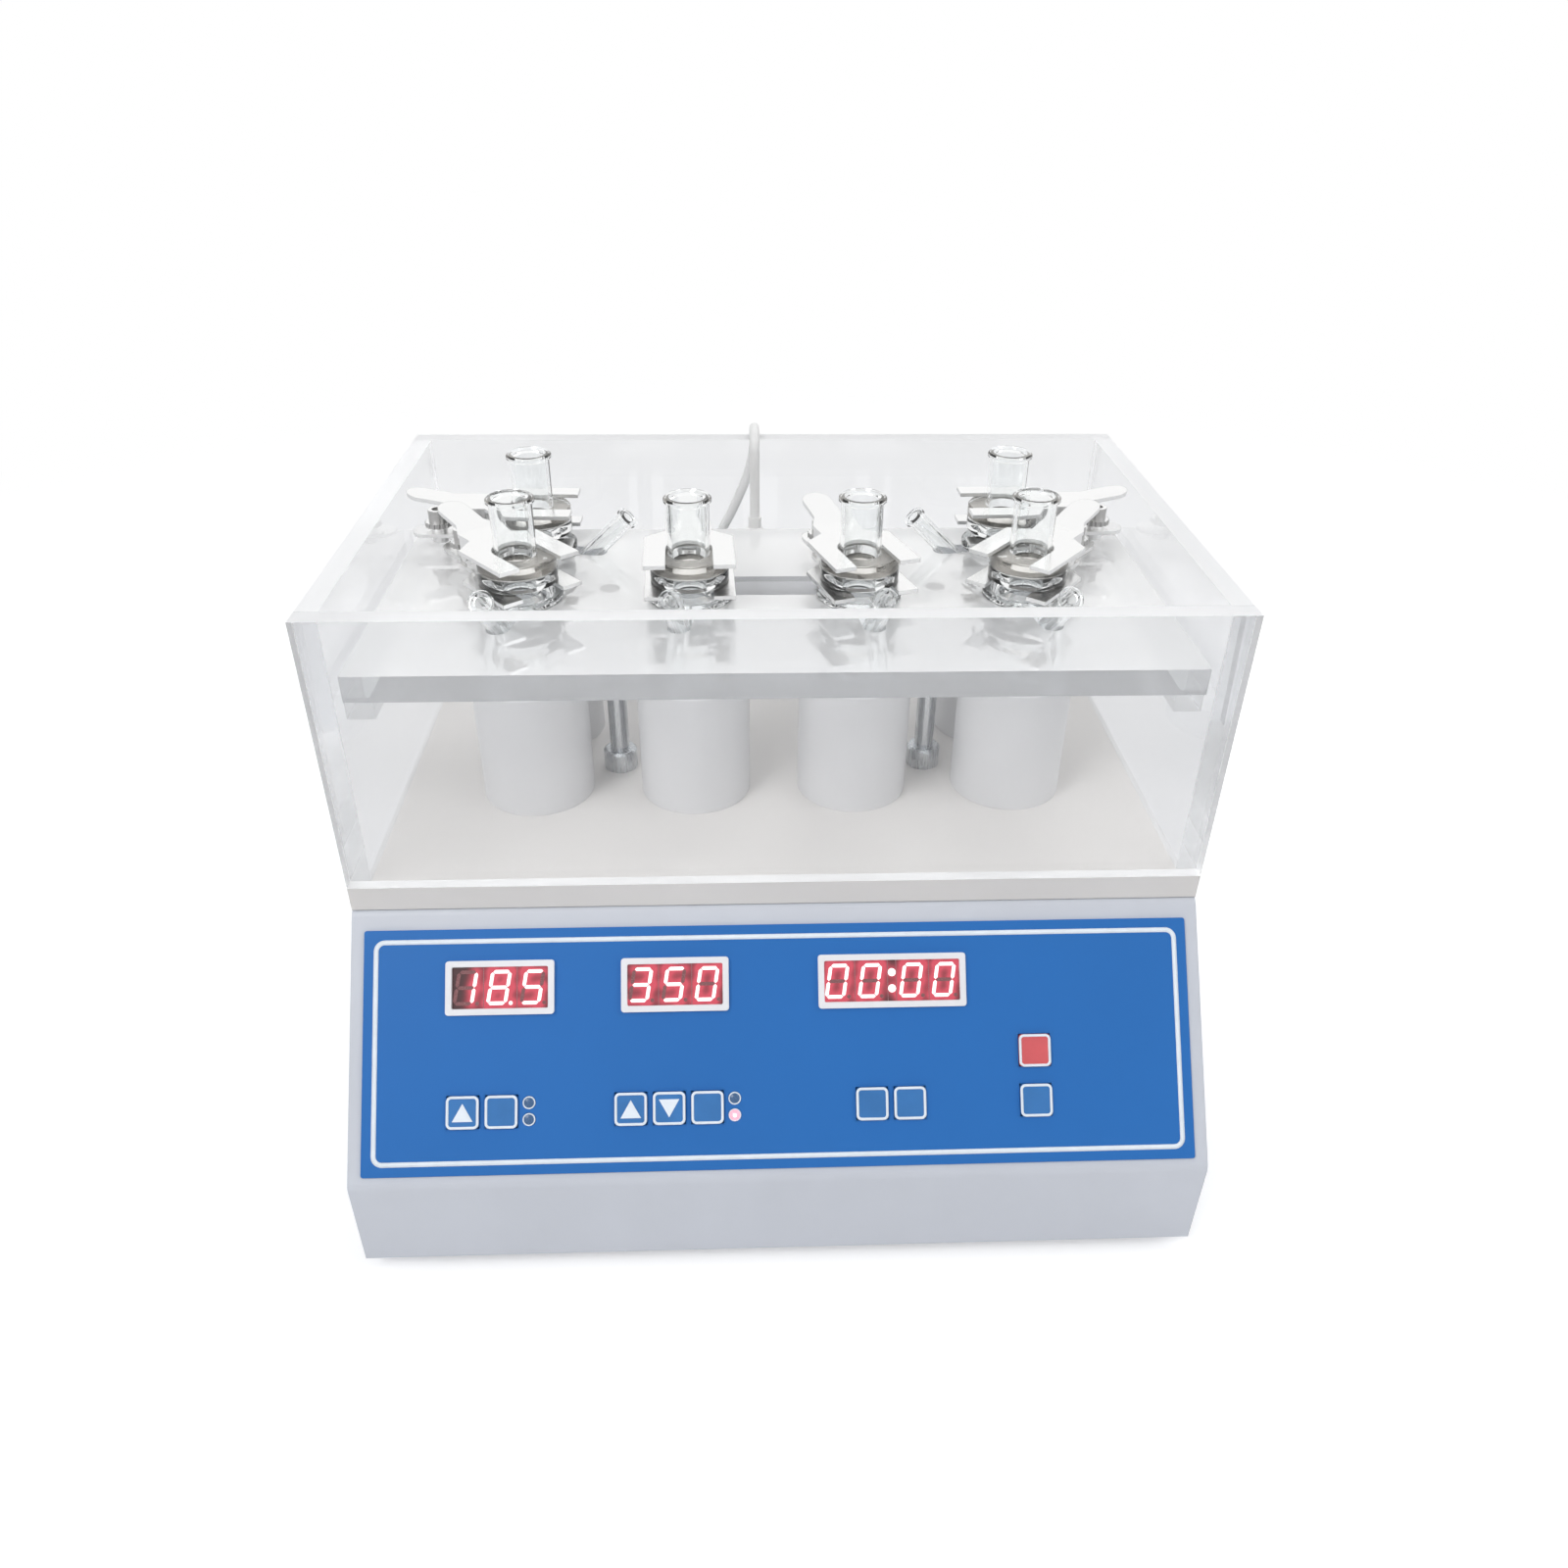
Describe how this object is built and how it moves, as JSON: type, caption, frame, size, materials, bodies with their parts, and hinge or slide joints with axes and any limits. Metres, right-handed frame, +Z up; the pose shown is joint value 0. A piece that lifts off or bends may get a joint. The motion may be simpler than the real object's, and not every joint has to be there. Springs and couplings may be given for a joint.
{
  "type": "transdermal diffusion tester",
  "caption": "Bench tester for skin diffusion: clear heated water bath with a lift-out rack of clamped glass cells, on a sloped control box with LED displays and keys.",
  "frame": {"origin": "middle of the footprint, on the surface that the feet stand on", "axes": "+X to the right, +Y to the back, +Z up; the control panel faces -Y"},
  "size_m": [0.32, 0.285, 0.262],
  "materials": {
    "case_paint": "satin powder coat",
    "screw_steel": "zinc plated",
    "foot_rubber": "matt",
    "overlay_blue": "printed polyester film",
    "bezel_white": "satin",
    "display_red": "tinted filter",
    "lamp_lens": "diffused lens",
    "board_green": "solder mask",
    "supply_metal": "brushed",
    "inlet_black": "moulded",
    "motor_metal": "zinc plated",
    "floor_cream": "milled sheet",
    "clear_acrylic": "polished acrylic",
    "support_steel": "turned",
    "tower_white": "turned",
    "steel": "satin stainless",
    "probe_white": "moulded",
    "lab_glass": "clear borosilicate",
    "membrane_film": "thin film",
    "key_blue": "printed key",
    "key_red": "printed key",
    "rotor_dark": "coated",
    "bar_ptfe": "smooth"
  },
  "bodies": {
    "housing": {"base_pan": "case_paint", "front_cover": "case_paint", "side_panels": "case_paint", "rear_panel": "case_paint", "case_screws": "screw_steel", "feet": "foot_rubber", "control_overlay": "overlay_blue", "display_bezels": "bezel_white", "led_displays": "display_red", "indicator_leds": "lamp_lens", "control_board": "board_green", "power_supply": "supply_metal", "power_inlet": "inlet_black", "stirrer_motors": "motor_metal", "tank_floor": "floor_cream", "tank_walls": "clear_acrylic", "plate_supports": "support_steel", "stirrer_towers": "tower_white", "heater_tube": "steel", "temperature_probe": "probe_white", "probe_lead": "probe_white"},
    "cell_rack": {"holder_plate": "clear_acrylic", "receptor_chambers": "lab_glass", "donor_chambers": "lab_glass", "membranes": "membrane_film", "clamp_frames": "steel"},
    "key_temp_up_cap": {"key_temp_up": "key_blue"},
    "key_temp_set_cap": {"key_temp_set": "key_blue"},
    "key_speed_up_cap": {"key_speed_up": "key_blue"},
    "key_speed_down_cap": {"key_speed_down": "key_blue"},
    "key_speed_set_cap": {"key_speed_set": "key_blue"},
    "key_timer_set_cap": {"key_timer_set": "key_blue"},
    "key_timer_run_cap": {"key_timer_run": "key_blue"},
    "key_stop_cap": {"key_stop": "key_red"},
    "key_start_cap": {"key_start": "key_blue"},
    "rocker": {"power_rocker": "inlet_black"},
    "rotor_1": {"magnet_rotor_1": "rotor_dark"},
    "stirrer_1": {"stir_bar_1": "bar_ptfe"},
    "clamp_1": {"upper_jaw_1": "steel"},
    "nut_1": {"lock_nut_1": "steel"},
    "rotor_2": {"magnet_rotor_2": "rotor_dark"},
    "stirrer_2": {"stir_bar_2": "bar_ptfe"},
    "clamp_2": {"upper_jaw_2": "steel"},
    "nut_2": {"lock_nut_2": "steel"},
    "rotor_3": {"magnet_rotor_3": "rotor_dark"},
    "stirrer_3": {"stir_bar_3": "bar_ptfe"},
    "clamp_3": {"upper_jaw_3": "steel"},
    "nut_3": {"lock_nut_3": "steel"},
    "rotor_4": {"magnet_rotor_4": "rotor_dark"},
    "stirrer_4": {"stir_bar_4": "bar_ptfe"},
    "clamp_4": {"upper_jaw_4": "steel"},
    "nut_4": {"lock_nut_4": "steel"},
    "rotor_5": {"magnet_rotor_5": "rotor_dark"},
    "stirrer_5": {"stir_bar_5": "bar_ptfe"},
    "clamp_5": {"upper_jaw_5": "steel"},
    "nut_5": {"lock_nut_5": "steel"},
    "rotor_6": {"magnet_rotor_6": "rotor_dark"},
    "stirrer_6": {"stir_bar_6": "bar_ptfe"},
    "clamp_6": {"upper_jaw_6": "steel"},
    "nut_6": {"lock_nut_6": "steel"}
  },
  "joints": [
    {"name": "key_temp_up_press", "type": "slide", "parent": "housing", "child": "key_temp_up_cap", "axis": [0, 0.7856, -0.6187], "range_m": [0, 0.0005], "stiffness_N_per_m": 600},
    {"name": "key_temp_set_press", "type": "slide", "parent": "housing", "child": "key_temp_set_cap", "axis": [0, 0.7856, -0.6187], "range_m": [0, 0.0005], "stiffness_N_per_m": 600},
    {"name": "key_speed_up_press", "type": "slide", "parent": "housing", "child": "key_speed_up_cap", "axis": [0, 0.7856, -0.6187], "range_m": [0, 0.0005], "stiffness_N_per_m": 600},
    {"name": "key_speed_down_press", "type": "slide", "parent": "housing", "child": "key_speed_down_cap", "axis": [0, 0.7856, -0.6187], "range_m": [0, 0.0005], "stiffness_N_per_m": 600},
    {"name": "key_speed_set_press", "type": "slide", "parent": "housing", "child": "key_speed_set_cap", "axis": [0, 0.7856, -0.6187], "range_m": [0, 0.0005], "stiffness_N_per_m": 600},
    {"name": "key_timer_set_press", "type": "slide", "parent": "housing", "child": "key_timer_set_cap", "axis": [0, 0.7856, -0.6187], "range_m": [0, 0.0005], "stiffness_N_per_m": 600},
    {"name": "key_timer_run_press", "type": "slide", "parent": "housing", "child": "key_timer_run_cap", "axis": [0, 0.7856, -0.6187], "range_m": [0, 0.0005], "stiffness_N_per_m": 600},
    {"name": "key_stop_press", "type": "slide", "parent": "housing", "child": "key_stop_cap", "axis": [0, 0.7856, -0.6187], "range_m": [0, 0.0005], "stiffness_N_per_m": 600},
    {"name": "key_start_press", "type": "slide", "parent": "housing", "child": "key_start_cap", "axis": [0, 0.7856, -0.6187], "range_m": [0, 0.0005], "stiffness_N_per_m": 600},
    {"name": "power_rocker_tilt", "type": "hinge", "parent": "housing", "child": "rocker", "pos_m": [-0.092, 0.13623, 0.053], "axis": [-1, 0, 0], "range_deg": [0, 16]},
    {"name": "cell_rack_lift", "type": "slide", "parent": "housing", "child": "cell_rack", "axis": [0, 0, 1], "range_m": [0, 0.08]},
    {"name": "magnet_rotor_1_spin", "type": "hinge", "parent": "housing", "child": "rotor_1", "pos_m": [-0.0975, -0.0075, 0.177], "axis": [0, 0, 1], "continuous": true},
    {"name": "stir_bar_1_spin", "type": "hinge", "parent": "cell_rack", "child": "stirrer_1", "pos_m": [-0.0975, -0.0075, 0.1973], "axis": [0, 0, 1], "continuous": true},
    {"name": "upper_jaw_1_open", "type": "hinge", "parent": "cell_rack", "child": "clamp_1", "pos_m": [-0.11164, 0.00935, 0.2349], "axis": [-0.766, -0.6428, 0], "range_deg": [0, 11], "stiffness_Nm_per_rad": 0.4, "springref_deg": -5.73},
    {"name": "lock_nut_1_turn", "type": "hinge", "parent": "cell_rack", "child": "nut_1", "pos_m": [-0.12321, 0.02314, 0.234], "axis": [0, 0, 1], "continuous": true},
    {"name": "magnet_rotor_2_spin", "type": "hinge", "parent": "housing", "child": "rotor_2", "pos_m": [-0.0325, -0.0075, 0.177], "axis": [0, 0, 1], "continuous": true},
    {"name": "stir_bar_2_spin", "type": "hinge", "parent": "cell_rack", "child": "stirrer_2", "pos_m": [-0.0325, -0.0075, 0.1973], "axis": [0, 0, 1], "continuous": true},
    {"name": "upper_jaw_2_open", "type": "hinge", "parent": "cell_rack", "child": "clamp_2", "pos_m": [-0.03327, 0.01449, 0.2349], "axis": [-0.9994, -0.0349, 0], "range_deg": [0, 11], "stiffness_Nm_per_rad": 0.4, "springref_deg": -5.73},
    {"name": "lock_nut_2_turn", "type": "hinge", "parent": "cell_rack", "child": "nut_2", "pos_m": [-0.0339, 0.03248, 0.234], "axis": [0, 0, 1], "continuous": true},
    {"name": "magnet_rotor_3_spin", "type": "hinge", "parent": "housing", "child": "rotor_3", "pos_m": [0.0325, -0.0075, 0.177], "axis": [0, 0, 1], "continuous": true},
    {"name": "stir_bar_3_spin", "type": "hinge", "parent": "cell_rack", "child": "stirrer_3", "pos_m": [0.0325, -0.0075, 0.1973], "axis": [0, 0, 1], "continuous": true},
    {"name": "upper_jaw_3_open", "type": "hinge", "parent": "cell_rack", "child": "clamp_3", "pos_m": [0.0257, 0.01342, 0.2349], "axis": [-0.9511, -0.309, 0], "range_deg": [0, 11], "stiffness_Nm_per_rad": 0.4, "springref_deg": -5.73},
    {"name": "lock_nut_3_turn", "type": "hinge", "parent": "cell_rack", "child": "nut_3", "pos_m": [0.02014, 0.03054, 0.234], "axis": [0, 0, 1], "continuous": true},
    {"name": "magnet_rotor_4_spin", "type": "hinge", "parent": "housing", "child": "rotor_4", "pos_m": [0.0975, -0.0075, 0.177], "axis": [0, 0, 1], "continuous": true},
    {"name": "stir_bar_4_spin", "type": "hinge", "parent": "cell_rack", "child": "stirrer_4", "pos_m": [0.0975, -0.0075, 0.1973], "axis": [0, 0, 1], "continuous": true},
    {"name": "upper_jaw_4_open", "type": "hinge", "parent": "cell_rack", "child": "clamp_4", "pos_m": [0.11164, 0.00935, 0.2349], "axis": [-0.766, 0.6428, 0], "range_deg": [0, 11], "stiffness_Nm_per_rad": 0.4, "springref_deg": -5.73},
    {"name": "lock_nut_4_turn", "type": "hinge", "parent": "cell_rack", "child": "nut_4", "pos_m": [0.12321, 0.02314, 0.234], "axis": [0, 0, 1], "continuous": true},
    {"name": "magnet_rotor_5_spin", "type": "hinge", "parent": "housing", "child": "rotor_5", "pos_m": [-0.0975, 0.0435, 0.177], "axis": [0, 0, 1], "continuous": true},
    {"name": "stir_bar_5_spin", "type": "hinge", "parent": "cell_rack", "child": "stirrer_5", "pos_m": [-0.0975, 0.0435, 0.1973], "axis": [0, 0, 1], "continuous": true},
    {"name": "upper_jaw_5_open", "type": "hinge", "parent": "cell_rack", "child": "clamp_5", "pos_m": [-0.11949, 0.04427, 0.2349], "axis": [-0.0349, -0.9994, 0], "range_deg": [0, 11], "stiffness_Nm_per_rad": 0.4, "springref_deg": -5.73},
    {"name": "lock_nut_5_turn", "type": "hinge", "parent": "cell_rack", "child": "nut_5", "pos_m": [-0.13748, 0.0449, 0.234], "axis": [0, 0, 1], "continuous": true},
    {"name": "magnet_rotor_6_spin", "type": "hinge", "parent": "housing", "child": "rotor_6", "pos_m": [0.0975, 0.0435, 0.177], "axis": [0, 0, 1], "continuous": true},
    {"name": "stir_bar_6_spin", "type": "hinge", "parent": "cell_rack", "child": "stirrer_6", "pos_m": [0.0975, 0.0435, 0.1973], "axis": [0, 0, 1], "continuous": true},
    {"name": "upper_jaw_6_open", "type": "hinge", "parent": "cell_rack", "child": "clamp_6", "pos_m": [0.11949, 0.04427, 0.2349], "axis": [-0.0349, 0.9994, 0], "range_deg": [0, 11], "stiffness_Nm_per_rad": 0.4, "springref_deg": -5.73},
    {"name": "lock_nut_6_turn", "type": "hinge", "parent": "cell_rack", "child": "nut_6", "pos_m": [0.13748, 0.0449, 0.234], "axis": [0, 0, 1], "continuous": true}
  ],
  "couplings": [
    {"joint": "stir_bar_1_spin", "follows": "magnet_rotor_1_spin", "ratio": 1},
    {"joint": "stir_bar_2_spin", "follows": "magnet_rotor_2_spin", "ratio": 1},
    {"joint": "stir_bar_3_spin", "follows": "magnet_rotor_3_spin", "ratio": 1},
    {"joint": "stir_bar_4_spin", "follows": "magnet_rotor_4_spin", "ratio": 1},
    {"joint": "stir_bar_5_spin", "follows": "magnet_rotor_5_spin", "ratio": 1},
    {"joint": "stir_bar_6_spin", "follows": "magnet_rotor_6_spin", "ratio": 1}
  ]
}
